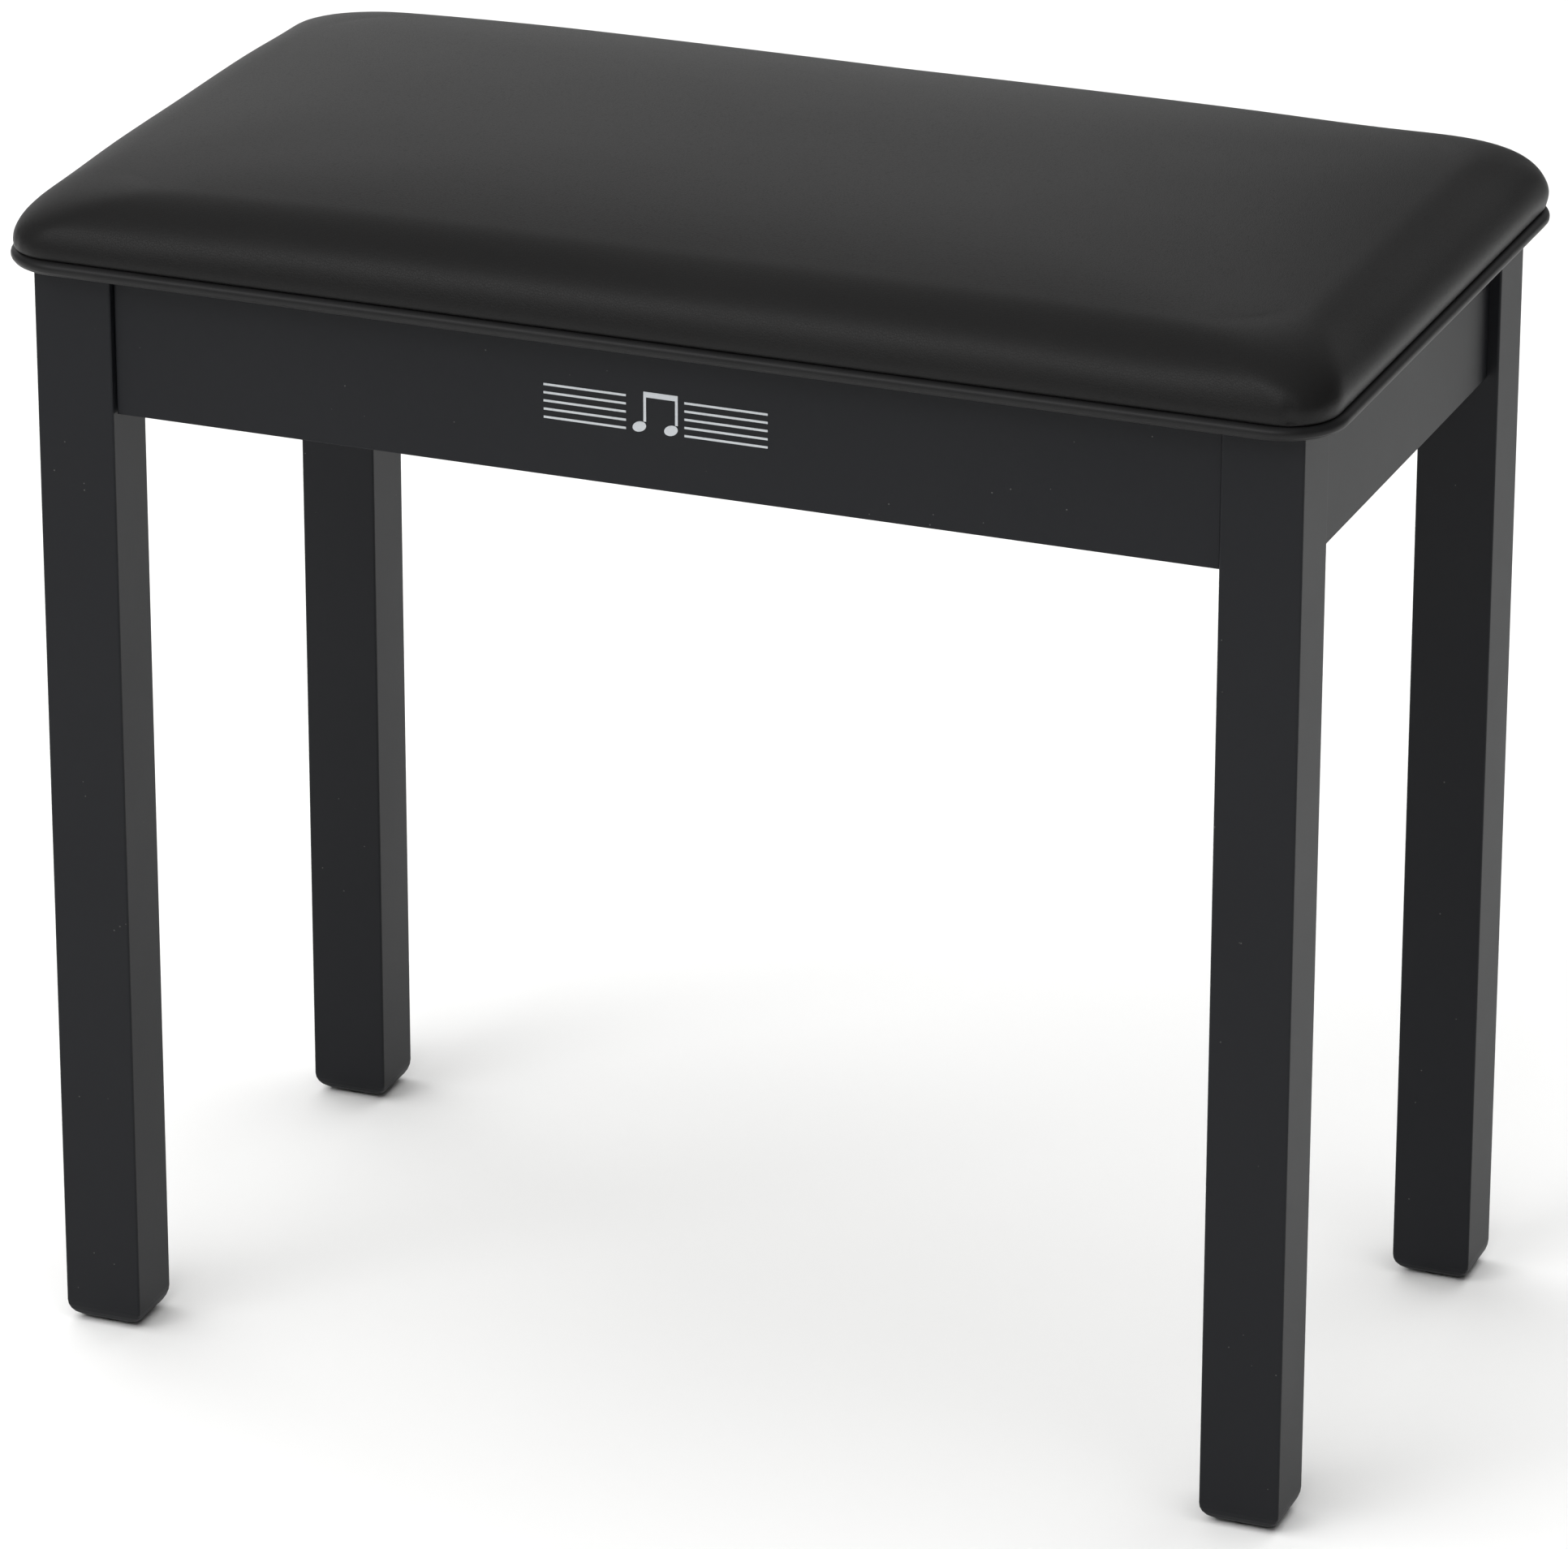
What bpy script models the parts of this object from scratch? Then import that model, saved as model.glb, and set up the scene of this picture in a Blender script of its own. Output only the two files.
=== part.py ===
"""Piano bench: padded vinyl seat on a four-legged apron frame, knock-down corner brackets."""
import math

import bmesh
import bpy
from mathutils import Matrix, Vector

# Driving dimensions, in metres. X is the bench's length, -Y its front, Z up, floor at z = 0.
FRAME_LENGTH = 0.5200        # over the outer faces of the legs
FRAME_DEPTH = 0.2713
FRAME_TOP = 0.4539
LEG_WIDTH = 0.0326           # along X
LEG_DEPTH = 0.0289           # along Y
LEG_BOTTOM = 0.0015          # the glide lifts the leg this far
FOOT_INSET = 0.0048          # the lower end of a leg is rounded in, like a quarter ellipse
FOOT_ROUND_HEIGHT = 0.0075
FOOT_STEPS = 5
ARRIS = 0.0008
ARRIS_STEPS = 3

APRON_BOTTOM = 0.3954
APRON_THICKNESS = 0.0150
FRONT_SETBACK = 0.0027       # long apron face behind the leg face
SIDE_SETBACK = 0.0047        # short apron face behind the leg face
APRON_END_GAP = 0.0004
APRON_ARRIS = 0.0005

BOARD_BOTTOM = 0.4556
BOARD_THICKNESS = 0.0120
BOARD_HALF_X = 0.2650
BOARD_HALF_Y = 0.1418
BOARD_CORNER = 0.0200

WELT_HALF_X = 0.2699         # centre line of the welt's roll
WELT_HALF_Y = 0.1464
WELT_CORNER = 0.0232
WELT_Z = 0.4571
WELT_RADIUS = 0.0029
WELT_FLANGE = 0.0140         # stapling flange that runs in under the board
WELT_FLANGE_THICKNESS = 0.0010

COVER_HALF_X = 0.2703
COVER_HALF_Y = 0.1472
COVER_CORNER = 0.0220
COVER_BASE = 0.4603
COVER_THICKNESS = 0.0012
SHOULDER_RISE = 0.0243
SHOULDER_RUN = 0.0290
SHOULDER_POWER = 2.2         # 2 would be a plain ellipse
CROWN_RISE = 0.0115
CROWN_POWER_X = 4.0
CROWN_POWER_Y = 2.4
PAD_CELLS_X = 28
PAD_CELLS_Y = 20
FOAM_INSET = 0.0026          # foam surface inside the cover's outer surface

DUST_COVER_HALF_X = 0.2360
DUST_COVER_HALF_Y = 0.0960
DUST_COVER_THICKNESS = 0.0005

CLEAT_HALF_LENGTH = 0.1700
CLEAT_SECTION = 0.0180
CLEAT_ARRIS = 0.0006

BRACKET_REACH = 0.0380       # from the inner corner to the bend, along each apron
BRACKET_FLANGE = 0.0200
BRACKET_GAUGE = 0.0018
BRACKET_HEIGHT = 0.0400
BRACKET_Z = 0.4200           # middle of the bracket and of its bolt
LEG_FLAT_DEPTH = 0.0050      # how far the leg's inner arris is planed back for the bolt

BOLT_RADIUS = 0.0030
BOLT_IN_LEG = 0.0240
BOLT_TAIL = 0.0050           # thread past the nut
BOLT_LEAD = 0.0010           # taper at the bolt's ends
WASHER_RADIUS = 0.0070
WASHER_THICKNESS = 0.0012
NUT_ACROSS_FLATS = 0.0100
NUT_THICKNESS = 0.0050

SCREW_SHANK_RADIUS = 0.0018
SCREW_HEAD_RADIUS = 0.0039
SCREW_HEAD_HEIGHT = 0.0022
BRACKET_SCREW_LENGTH = 0.0110
BRACKET_SCREW_SPREAD = 0.0110    # half the height between a flange's two screws
SEAT_SCREW_LENGTH = 0.0265
SEAT_SCREW_X = (-0.1300, 0.0, 0.1300)

GLIDE_RADIUS = 0.0090
GLIDE_THICKNESS = 0.0012
GLIDE_RIM = 0.0004
GLIDE_NAIL_RADIUS = 0.0012
GLIDE_NAIL_LENGTH = 0.0140

FIT = 0.0003                 # gap left between pieces that touch
MERGE = 0.00005
OVERCUT = 0.0100             # how far a cutter stands out of the face it opens
CORNER_STEPS = 6             # facets in a quarter turn of the seat's outlines
ROUND_STEPS = 12             # facets round a fastener

# Worked out from the above.
APRON_HEIGHT = FRAME_TOP - APRON_BOTTOM
FRONT_FACE_Y = FRAME_DEPTH / 2 - FRONT_SETBACK
SIDE_FACE_X = FRAME_LENGTH / 2 - SIDE_SETBACK
INNER_X = SIDE_FACE_X - APRON_THICKNESS
INNER_Y = FRONT_FACE_Y - APRON_THICKNESS
LEG_X = FRAME_LENGTH / 2 - LEG_WIDTH / 2
LEG_Y = FRAME_DEPTH / 2 - LEG_DEPTH / 2
CLEAT_TOP = FRAME_TOP - FIT
BRACKET_CENTRE = (BRACKET_REACH + FIT) / 2
PLATE_FACE = BRACKET_CENTRE * math.sqrt(2) + BRACKET_GAUGE   # inner skin of the plate, from the corner
CORNERS = {
    "front_left": (-1, -1),
    "front_right": (1, -1),
    "rear_left": (-1, 1),
    "rear_right": (1, 1),
}


def clear_scene():
    for old in list(bpy.data.objects):
        bpy.data.objects.remove(old, do_unlink=True)


def new_collection(name):
    collection = bpy.data.collections.new(name)
    bpy.context.scene.collection.children.link(collection)
    return collection


def principled(name, colour, roughness, metallic=0.0):
    material = bpy.data.materials.new(name)
    material.use_nodes = True
    shader = material.node_tree.nodes["Principled BSDF"]
    shader.inputs["Base Color"].default_value = (*colour, 1.0)
    shader.inputs["Roughness"].default_value = roughness
    shader.inputs["Metallic"].default_value = metallic
    return material


clear_scene()
PARTS = new_collection("piano_bench")
CUTTERS = new_collection("cutters")
FOIL = principled("black_foil", (0.020, 0.021, 0.024), 0.45)
VINYL = principled("black_vinyl", (0.018, 0.018, 0.018), 0.38)
BOARD = principled("particle_board", (0.48, 0.35, 0.22), 0.85)
FOAM = principled("foam", (0.80, 0.76, 0.62), 0.95)
CLOTH = principled("dust_cloth", (0.030, 0.030, 0.032), 0.95)
ZINC = principled("zinc_plate", (0.62, 0.63, 0.65), 0.35, 1.0)
GLIDE = principled("glide_plastic", (0.030, 0.030, 0.032), 0.55)


def add_object(name, mesh, material, collection=PARTS):
    piece = bpy.data.objects.new(name, mesh)
    collection.objects.link(piece)
    if material is not None and not mesh.materials:
        mesh.materials.append(material)
    return piece


def mesh_from(shape, name):
    mesh = bpy.data.meshes.new(name)
    bmesh.ops.recalc_face_normals(shape, faces=shape.faces)
    shape.to_mesh(mesh)
    shape.free()
    return mesh


def evaluated_mesh(piece, name):
    """Mesh of a piece with its modifiers or curve settings worked in, loose caps welded."""
    depsgraph = bpy.context.evaluated_depsgraph_get()
    mesh = bpy.data.meshes.new_from_object(piece.evaluated_get(depsgraph))
    shape = bmesh.new()
    shape.from_mesh(mesh)
    bmesh.ops.remove_doubles(shape, verts=shape.verts, dist=MERGE)
    bpy.data.meshes.remove(mesh)
    return mesh_from(shape, name)


def box_mesh(name, size, centre=(0, 0, 0)):
    shape = bmesh.new()
    bmesh.ops.create_cube(shape, size=1.0)
    bmesh.ops.scale(shape, verts=shape.verts, vec=size)
    bmesh.ops.translate(shape, verts=shape.verts, vec=centre)
    return mesh_from(shape, name)


def rod_mesh(name, radius, z_low, z_high, steps=ROUND_STEPS):
    shape = bmesh.new()
    bmesh.ops.create_cone(
        shape, cap_ends=True, segments=steps, radius1=radius, radius2=radius, depth=z_high - z_low
    )
    bmesh.ops.translate(shape, verts=shape.verts, vec=(0, 0, (z_low + z_high) / 2))
    return mesh_from(shape, name)


def add_cutter(name, mesh, matrix=Matrix()):
    cutter = add_object(name, mesh, None, CUTTERS)
    cutter.matrix_world = matrix
    cutter.hide_render = True
    cutter.display_type = "WIRE"
    return cutter


def cut(piece, cutter):
    boolean = piece.modifiers.new(cutter.name, "BOOLEAN")
    boolean.operation = "DIFFERENCE"
    boolean.solver = "EXACT"
    boolean.object = cutter


def round_arrises(piece, width=ARRIS, segments=2):
    bevel = piece.modifiers.new("arrises", "BEVEL")
    bevel.width = width
    bevel.segments = segments
    bevel.limit_method = "ANGLE"
    bevel.angle_limit = math.radians(40)


def smooth(piece, angle=40):
    piece.data.shade_smooth()
    piece.data.set_sharp_from_angle(angle=math.radians(angle))


def turned(name, profile, steps=ROUND_STEPS):
    """Solid of revolution about Z. The profile runs from top to bottom as (radius, z) points."""
    shape = bmesh.new()
    points = [shape.verts.new((radius, 0, z)) for radius, z in profile]
    for start, end in zip(points, points[1:]):
        shape.edges.new((start, end))
    mesh = bpy.data.meshes.new(name)
    shape.to_mesh(mesh)
    shape.free()
    blank = add_object(name, mesh, None, CUTTERS)
    screw = blank.modifiers.new("turn", "SCREW")
    screw.steps = steps
    screw.render_steps = steps
    screw.use_merge_vertices = True
    screw.merge_threshold = MERGE
    result = evaluated_mesh(blank, name)
    bpy.data.objects.remove(blank, do_unlink=True)
    return result


def rounded_outline(half_x, half_y, corner, steps=CORNER_STEPS):
    """Corner points of a rounded rectangle, counter-clockwise, with even facets in each turn."""
    points = []
    for quarter, (sx, sy) in enumerate(((1, -1), (1, 1), (-1, 1), (-1, -1))):
        for step in range(steps + 1):
            angle = math.radians(90) * (quarter - 1 + step / steps)
            points.append((
                sx * (half_x - corner) + corner * math.cos(angle),
                sy * (half_y - corner) + corner * math.sin(angle),
            ))
    return points


def outline_curve(name, points, z, collection=PARTS):
    curve = bpy.data.curves.new(name, "CURVE")
    curve.dimensions = "2D"
    spline = curve.splines.new("POLY")
    spline.points.add(len(points) - 1)
    for point, (x, y) in zip(spline.points, points):
        point.co = (x, y, 0, 1)
    spline.use_cyclic_u = True
    piece = bpy.data.objects.new(name, curve)
    piece.location.z = z
    collection.objects.link(piece)
    return piece


def flat_panel(name, points, z_low, z_high, material):
    """A flat outline of straight and round stretches, given its thickness."""
    outline = outline_curve(name + "_outline", points, (z_low + z_high) / 2, CUTTERS)
    outline.data.fill_mode = "BOTH"
    outline.data.extrude = (z_high - z_low) / 2
    mesh = evaluated_mesh(outline, name)
    panel = add_object(name, mesh, material)
    panel.location.z = outline.location.z
    bpy.data.objects.remove(outline, do_unlink=True)
    return panel


def rim_distance(x, y, half_x, half_y, corner):
    """How far a point lies inside a rounded rectangle."""
    over_x = abs(x) - (half_x - corner)
    over_y = abs(y) - (half_y - corner)
    return corner - math.hypot(max(over_x, 0), max(over_y, 0)) - min(max(over_x, over_y), 0)


def crown_height(x, y, half_x, half_y, corner):
    """Height of the padded surface above its rim: a round shoulder and a low crown."""
    edge = min(max(rim_distance(x, y, half_x, half_y, corner) / SHOULDER_RUN, 0.0), 1.0)
    shoulder = math.sqrt(1 - (1 - edge) ** SHOULDER_POWER)
    crown = (1 - abs(x / half_x) ** CROWN_POWER_X) * (1 - abs(y / half_y) ** CROWN_POWER_Y)
    return SHOULDER_RISE * shoulder + CROWN_RISE * crown


def padded_surface(inset):
    """Open crowned surface on a rounded-rectangle rim, made from a grid."""
    half_x = COVER_HALF_X - inset
    half_y = COVER_HALF_Y - inset
    corner = COVER_CORNER - inset
    rise = 1 - inset / (SHOULDER_RISE + CROWN_RISE)
    shape = bmesh.new()
    bmesh.ops.create_grid(shape, x_segments=PAD_CELLS_X, y_segments=PAD_CELLS_Y, size=1.0)
    for vert in shape.verts:
        # Crowd the grid towards the rim, where the surface turns.
        x = half_x * math.copysign(1 - (1 - abs(vert.co.x)) ** 2, vert.co.x)
        y = half_y * math.copysign(1 - (1 - abs(vert.co.y)) ** 2, vert.co.y)
        over_x = abs(x) - (half_x - corner)
        over_y = abs(y) - (half_y - corner)
        if over_x > 0 and over_y > 0:
            # Draw the square corner of the grid in to a round one.
            pull = max(over_x, over_y) / math.hypot(over_x, over_y)
            x = math.copysign(half_x - corner + over_x * pull, x)
            y = math.copysign(half_y - corner + over_y * pull, y)
        vert.co = Vector((x, y, rise * crown_height(x, y, half_x, half_y, corner)))
    return shape


def make_seat_cover():
    surface = padded_surface(0.0)
    cover = add_object("seat_cover", mesh_from(surface, "seat_cover"), VINYL)
    cover.location.z = COVER_BASE
    skin = cover.modifiers.new("skin", "SOLIDIFY")
    skin.thickness = COVER_THICKNESS
    skin.offset = -1.0
    smooth(cover, 60)


def make_foam_pad():
    surface = padded_surface(FOAM_INSET)
    board_top = BOARD_BOTTOM + BOARD_THICKNESS + FIT - COVER_BASE
    everything = list(surface.verts) + list(surface.edges) + list(surface.faces)
    bmesh.ops.bisect_plane(
        surface, geom=everything, dist=MERGE / 10, plane_co=(0, 0, board_top), plane_no=(0, 0, 1),
        clear_inner=True
    )
    rim = [edge for edge in surface.edges if edge.is_boundary]
    bmesh.ops.edgeloop_fill(surface, edges=rim)
    foam = add_object("foam_pad", mesh_from(surface, "foam_pad"), FOAM)
    foam.location.z = COVER_BASE
    smooth(foam, 60)


def make_seat_board():
    outline = rounded_outline(BOARD_HALF_X, BOARD_HALF_Y, BOARD_CORNER)
    board = flat_panel("seat_board", outline, BOARD_BOTTOM, BOARD_BOTTOM + BOARD_THICKNESS, BOARD)
    for name, matrix in seat_screw_places():
        pilot = rod_mesh(name + "_pilot", SCREW_SHANK_RADIUS + FIT, -OVERCUT, SEAT_SCREW_LENGTH + FIT)
        cut(board, add_cutter(name + "_pilot", pilot, matrix))


def welt_section():
    """Cross-section of the welt: a round roll, open at its foot into a thin flat flange."""
    flange_top = math.asin(1 - WELT_FLANGE_THICKNESS / WELT_RADIUS)
    start = math.pi + flange_top
    sweep = 1.5 * math.pi + flange_top
    points = []
    for step in range(ROUND_STEPS):
        angle = start - step * sweep / (ROUND_STEPS - 1)
        points.append((WELT_RADIUS * math.cos(angle), WELT_RADIUS * math.sin(angle)))
    points.append((-WELT_FLANGE, -WELT_RADIUS))
    points.append((-WELT_FLANGE, -WELT_RADIUS + WELT_FLANGE_THICKNESS))
    return points


def make_seat_welt():
    """Welt: its section run round the edge of the seat, flange inwards."""
    section = outline_curve("welt_section", [(-out, up) for out, up in welt_section()], 0, CUTTERS)
    path = rounded_outline(WELT_HALF_X, WELT_HALF_Y, WELT_CORNER)
    run = outline_curve("welt_run", path, WELT_Z, CUTTERS)
    run.data.bevel_mode = "OBJECT"
    run.data.bevel_object = section
    welt = add_object("seat_welt", evaluated_mesh(run, "seat_welt"), VINYL)
    welt.location.z = WELT_Z
    welt.data.materials.clear()
    welt.data.materials.append(VINYL)
    smooth(welt, 50)
    for helper in (run, section):
        bpy.data.objects.remove(helper, do_unlink=True)


def make_dust_cover():
    outline = [
        (-DUST_COVER_HALF_X, -DUST_COVER_HALF_Y),
        (DUST_COVER_HALF_X, -DUST_COVER_HALF_Y),
        (DUST_COVER_HALF_X, DUST_COVER_HALF_Y),
        (-DUST_COVER_HALF_X, DUST_COVER_HALF_Y),
    ]
    top = BOARD_BOTTOM - FIT
    flat_panel("dust_cover", outline, top - DUST_COVER_THICKNESS, top, CLOTH)


def corner_matrix(corner, z):
    """Local frame of one inner corner of the frame: +X points diagonally into the bench."""
    side_x, side_y = CORNERS[corner]
    diagonal = Vector((-side_x, -side_y, 0)).normalized()
    across = Vector((0, 0, 1)).cross(diagonal)
    origin = Vector((side_x * INNER_X, side_y * INNER_Y, z))
    rotation = Matrix((diagonal, across, (0, 0, 1))).transposed().to_4x4()
    return Matrix.Translation(origin) @ rotation


def bolt_matrix(corner, distance):
    """Frame whose +Z runs along the corner's bolt, into the bench, at a distance from the corner."""
    along_x = Matrix.Rotation(math.radians(90), 4, "Y")
    return corner_matrix(corner, BRACKET_Z) @ Matrix.Translation((distance, 0, 0)) @ along_x


def bracket_screw_places(corner):
    """Screws of one bracket: two through each flange, driven outwards into the aprons."""
    side_x, side_y = CORNERS[corner]
    from_corner = BRACKET_REACH + BRACKET_FLANGE / 2
    seat = BRACKET_GAUGE + 2 * FIT
    places = []
    for level in (-BRACKET_SCREW_SPREAD, BRACKET_SCREW_SPREAD):
        z = BRACKET_Z + level
        long_apron = Vector((side_x * (INNER_X - from_corner), side_y * (INNER_Y - seat), z))
        short_apron = Vector((side_x * (INNER_X - seat), side_y * (INNER_Y - from_corner), z))
        places.append(("long", long_apron, Vector((0, side_y, 0))))
        places.append(("short", short_apron, Vector((side_x, 0, 0))))
    result = []
    for number, (apron, point, inward) in enumerate(places, start=1):
        turn = Vector((0, 0, 1)).rotation_difference(inward).to_matrix().to_4x4()
        name = "bracket_screw_{}_{}".format(corner, number)
        result.append((name, apron, Matrix.Translation(point) @ turn))
    return result


def seat_screw_places():
    """Screws that hold the seat: up through the cleats into the board."""
    result = []
    y = INNER_Y - CLEAT_SECTION / 2
    z = CLEAT_TOP - CLEAT_SECTION - FIT
    for side, sign in (("front", -1), ("rear", 1)):
        for number, x in enumerate(SEAT_SCREW_X, start=1):
            name = "seat_screw_{}_{}".format(side, number)
            result.append((name, Matrix.Translation((x, sign * y, z))))
    return result


def leg_mesh(name):
    """A square post with eased arrises, run down through levels to its rounded foot."""
    levels = [FRAME_TOP]
    for step in range(FOOT_STEPS, -1, -1):
        levels.append(LEG_BOTTOM + FOOT_ROUND_HEIGHT * (step / FOOT_STEPS) ** 1.5)
    shape = bmesh.new()
    rings = []
    for z in levels:
        drop = max(0.0, 1 - (z - LEG_BOTTOM) / FOOT_ROUND_HEIGHT)
        inset = FOOT_INSET * (1 - math.sqrt(1 - drop ** 2))
        corner = ARRIS + inset
        outline = rounded_outline(LEG_WIDTH / 2 - inset, LEG_DEPTH / 2 - inset, corner, ARRIS_STEPS)
        rings.append([shape.verts.new((x, y, z)) for x, y in outline])
    for upper, lower in zip(rings, rings[1:]):
        for index in range(len(upper)):
            shape.faces.new((upper[index - 1], upper[index], lower[index], lower[index - 1]))
    shape.faces.new(rings[0])
    shape.faces.new(rings[-1])
    return mesh_from(shape, name)


def make_leg(corner):
    side_x, side_y = CORNERS[corner]
    leg = add_object("leg_" + corner, leg_mesh("leg_" + corner), FOIL)
    leg.location = (side_x * LEG_X, side_y * LEG_Y, 0)
    smooth(leg, 32)

    # The inner arris is planed flat at the top, where the bolt goes in.
    flat_at = leg_flat_distance()
    width = LEG_WIDTH
    plane = box_mesh("leg_flat", (width, width, APRON_HEIGHT + OVERCUT), (flat_at + width / 2, 0, 0))
    lift = OVERCUT / 2 + APRON_HEIGHT / 2
    cut(leg, add_cutter("leg_flat_" + corner, plane, corner_matrix(corner, APRON_BOTTOM + lift)))
    bore = rod_mesh("bolt_bore", BOLT_RADIUS + FIT, -BOLT_IN_LEG - FIT, OVERCUT)
    cut(leg, add_cutter("bolt_bore_" + corner, bore, bolt_matrix(corner, flat_at)))
    nail_hole = rod_mesh("nail_hole", GLIDE_NAIL_RADIUS + FIT, -OVERCUT, GLIDE_NAIL_LENGTH + FIT)
    place = Matrix.Translation((side_x * LEG_X, side_y * LEG_Y, GLIDE_THICKNESS))
    cut(leg, add_cutter("nail_hole_" + corner, nail_hole, place))


def leg_flat_distance():
    """Distance along the corner's diagonal from the inner corner of the aprons to the leg's flat."""
    arris_x = INNER_X - (FRAME_LENGTH / 2 - LEG_WIDTH)
    arris_y = INNER_Y - (FRAME_DEPTH / 2 - LEG_DEPTH)
    return (arris_x + arris_y) / math.sqrt(2) - LEG_FLAT_DEPTH


def make_aprons():
    long_length = FRAME_LENGTH - 2 * LEG_WIDTH - 2 * APRON_END_GAP
    short_length = FRAME_DEPTH - 2 * LEG_DEPTH - 2 * APRON_END_GAP
    long_size = (long_length, APRON_THICKNESS, APRON_HEIGHT)
    short_size = (APRON_THICKNESS, short_length, APRON_HEIGHT)
    z = APRON_BOTTOM + APRON_HEIGHT / 2
    aprons = {
        "front_apron": (long_size, (0, -(FRONT_FACE_Y - APRON_THICKNESS / 2), z)),
        "rear_apron": (long_size, (0, FRONT_FACE_Y - APRON_THICKNESS / 2, z)),
        "left_apron": (short_size, (-(SIDE_FACE_X - APRON_THICKNESS / 2), 0, z)),
        "right_apron": (short_size, (SIDE_FACE_X - APRON_THICKNESS / 2, 0, z)),
    }
    for name, (size, place) in aprons.items():
        apron = add_object(name, box_mesh(name, size), FOIL)
        apron.location = place
        round_arrises(apron, APRON_ARRIS)
        for corner, (side_x, side_y) in CORNERS.items():
            for screw, kind, matrix in bracket_screw_places(corner):
                own = "front_apron" if side_y < 0 else "rear_apron"
                if kind == "short":
                    own = "left_apron" if side_x < 0 else "right_apron"
                if own == name:
                    pilot = rod_mesh(screw + "_pilot", SCREW_SHANK_RADIUS + FIT, -OVERCUT / 2,
                                     BRACKET_SCREW_LENGTH + FIT)
                    cut(apron, add_cutter(screw + "_pilot", pilot, matrix))


def make_cleats():
    for side, sign in (("front", -1), ("rear", 1)):
        size = (2 * CLEAT_HALF_LENGTH, CLEAT_SECTION - FIT, CLEAT_SECTION)
        cleat = add_object(side + "_cleat", box_mesh(side + "_cleat", size), BOARD)
        y = INNER_Y - FIT - (CLEAT_SECTION - FIT) / 2
        cleat.location = (0, sign * y, CLEAT_TOP - CLEAT_SECTION / 2)
        round_arrises(cleat, CLEAT_ARRIS, 1)
        for name, matrix in seat_screw_places():
            if side in name:
                hole = rod_mesh(name + "_hole", SCREW_SHANK_RADIUS + FIT, -OVERCUT, SEAT_SCREW_LENGTH)
                cut(cleat, add_cutter(name + "_hole", hole, matrix))


def make_bracket(corner):
    """Pressed steel bracket: a diagonal plate with a flange along each apron."""
    side_x, side_y = CORNERS[corner]
    far = BRACKET_REACH + BRACKET_FLANGE
    plan = ((far, FIT), (BRACKET_REACH, FIT), (FIT, BRACKET_REACH), (FIT, far))
    shape = bmesh.new()
    low = [shape.verts.new((x, y, -BRACKET_HEIGHT / 2)) for x, y in plan]
    edges = [shape.edges.new(pair) for pair in zip(low, low[1:])]
    raised = bmesh.ops.extrude_edge_only(shape, edges=edges)["geom"]
    tops = [item for item in raised if isinstance(item, bmesh.types.BMVert)]
    bmesh.ops.translate(shape, verts=tops, vec=(0, 0, BRACKET_HEIGHT))
    for vert in shape.verts:
        vert.co.x = side_x * (INNER_X - vert.co.x)
        vert.co.y = side_y * (INNER_Y - vert.co.y)
    mesh = bpy.data.meshes.new("corner_bracket_" + corner)
    shape.to_mesh(mesh)
    shape.free()
    bracket = add_object("corner_bracket_" + corner, mesh, ZINC)
    bracket.location.z = BRACKET_Z
    gauge = bracket.modifiers.new("gauge", "SOLIDIFY")
    gauge.thickness = BRACKET_GAUGE
    gauge.use_even_offset = True
    gauge.offset = bracket_side(mesh)
    hole = rod_mesh("bracket_hole", BOLT_RADIUS + 2 * FIT, -OVERCUT, OVERCUT)
    cut(bracket, add_cutter("bracket_hole_" + corner, hole, bolt_matrix(corner, PLATE_FACE)))
    for name, _apron, matrix in bracket_screw_places(corner):
        screw_hole = rod_mesh(name + "_clear", SCREW_SHANK_RADIUS + FIT, -OVERCUT / 2, OVERCUT / 2)
        cut(bracket, add_cutter(name + "_clear", screw_hole, matrix))


def bracket_side(mesh):
    """Solidify offset that thickens the bracket towards the middle of the bench."""
    face = mesh.polygons[1]
    outward = face.normal.dot(Vector((face.center.x, face.center.y, 0)))
    return -1.0 if outward > 0 else 1.0


def screw_mesh(name, length):
    """Round-headed wood screw with a cross recess; the head's underside is at z = 0, tip up."""
    radius = SCREW_HEAD_RADIUS
    height = SCREW_HEAD_HEIGHT
    shank = SCREW_SHANK_RADIUS
    profile = (
        (0, length), (shank, length - 2 * shank), (shank, 0), (radius, 0),
        (radius, -0.35 * height), (0.72 * radius, -0.85 * height), (0, -height),
    )
    blank = add_object(name + "_blank", turned(name + "_blank", profile, 10), ZINC, CUTTERS)
    slots = []
    for turn in (0, 90):
        slot = box_mesh("slot", (radius, radius * 0.24, height), (0, 0, -height))
        spin = Matrix.Rotation(math.radians(turn), 4, "Z")
        slots.append(add_cutter("{}_slot_{}".format(name, turn), slot, spin))
        cut(blank, slots[-1])
    mesh = evaluated_mesh(blank, name)
    for helper in [blank] + slots:
        bpy.data.objects.remove(helper, do_unlink=True)
    mesh.materials.clear()
    mesh.materials.append(ZINC)
    return mesh


def make_screws():
    short = screw_mesh("bracket_screw", BRACKET_SCREW_LENGTH)
    for corner in CORNERS:
        for name, _apron, matrix in bracket_screw_places(corner):
            screw = add_object(name, short, ZINC)
            screw.matrix_world = matrix
    long = screw_mesh("seat_screw", SEAT_SCREW_LENGTH)
    for name, matrix in seat_screw_places():
        screw = add_object(name, long, ZINC)
        screw.matrix_world = matrix


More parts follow.
